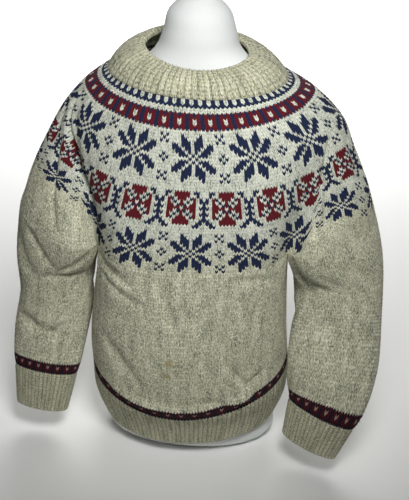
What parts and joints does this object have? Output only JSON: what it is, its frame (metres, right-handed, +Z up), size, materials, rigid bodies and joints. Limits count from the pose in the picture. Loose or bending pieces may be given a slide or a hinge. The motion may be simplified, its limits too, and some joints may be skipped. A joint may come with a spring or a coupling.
{
  "type": "norwegian sweater on a dress form",
  "caption": "Knitted wool pullover with a patterned round yoke, ribbed collar, hem and cuffs, worn on a limbless cloth-covered dress form with a flat base.",
  "frame": {"origin": "bottom centre of the bounding box, on the surface that the dress form's base stands on", "axes": "+Z up, the sweater's front faces -Y, the wearer's left sleeve is at +X"},
  "size_m": [0.6408, 0.2828, 0.792],
  "materials": {
    "collar": "matte",
    "yoke": "matte",
    "body": "matte",
    "hem_rib": "matte",
    "sleeve_left": "matte",
    "cuff_left": "matte",
    "sleeve_right": "matte",
    "cuff_right": "matte",
    "dress_form": "matte"
  },
  "bodies": {
    "root": {"collar": "collar", "yoke": "yoke", "body": "body", "hem_rib": "hem_rib", "sleeve_left": "sleeve_left", "cuff_left": "cuff_left", "sleeve_right": "sleeve_right", "cuff_right": "cuff_right", "dress_form": "dress_form"}
  },
  "joints": []
}
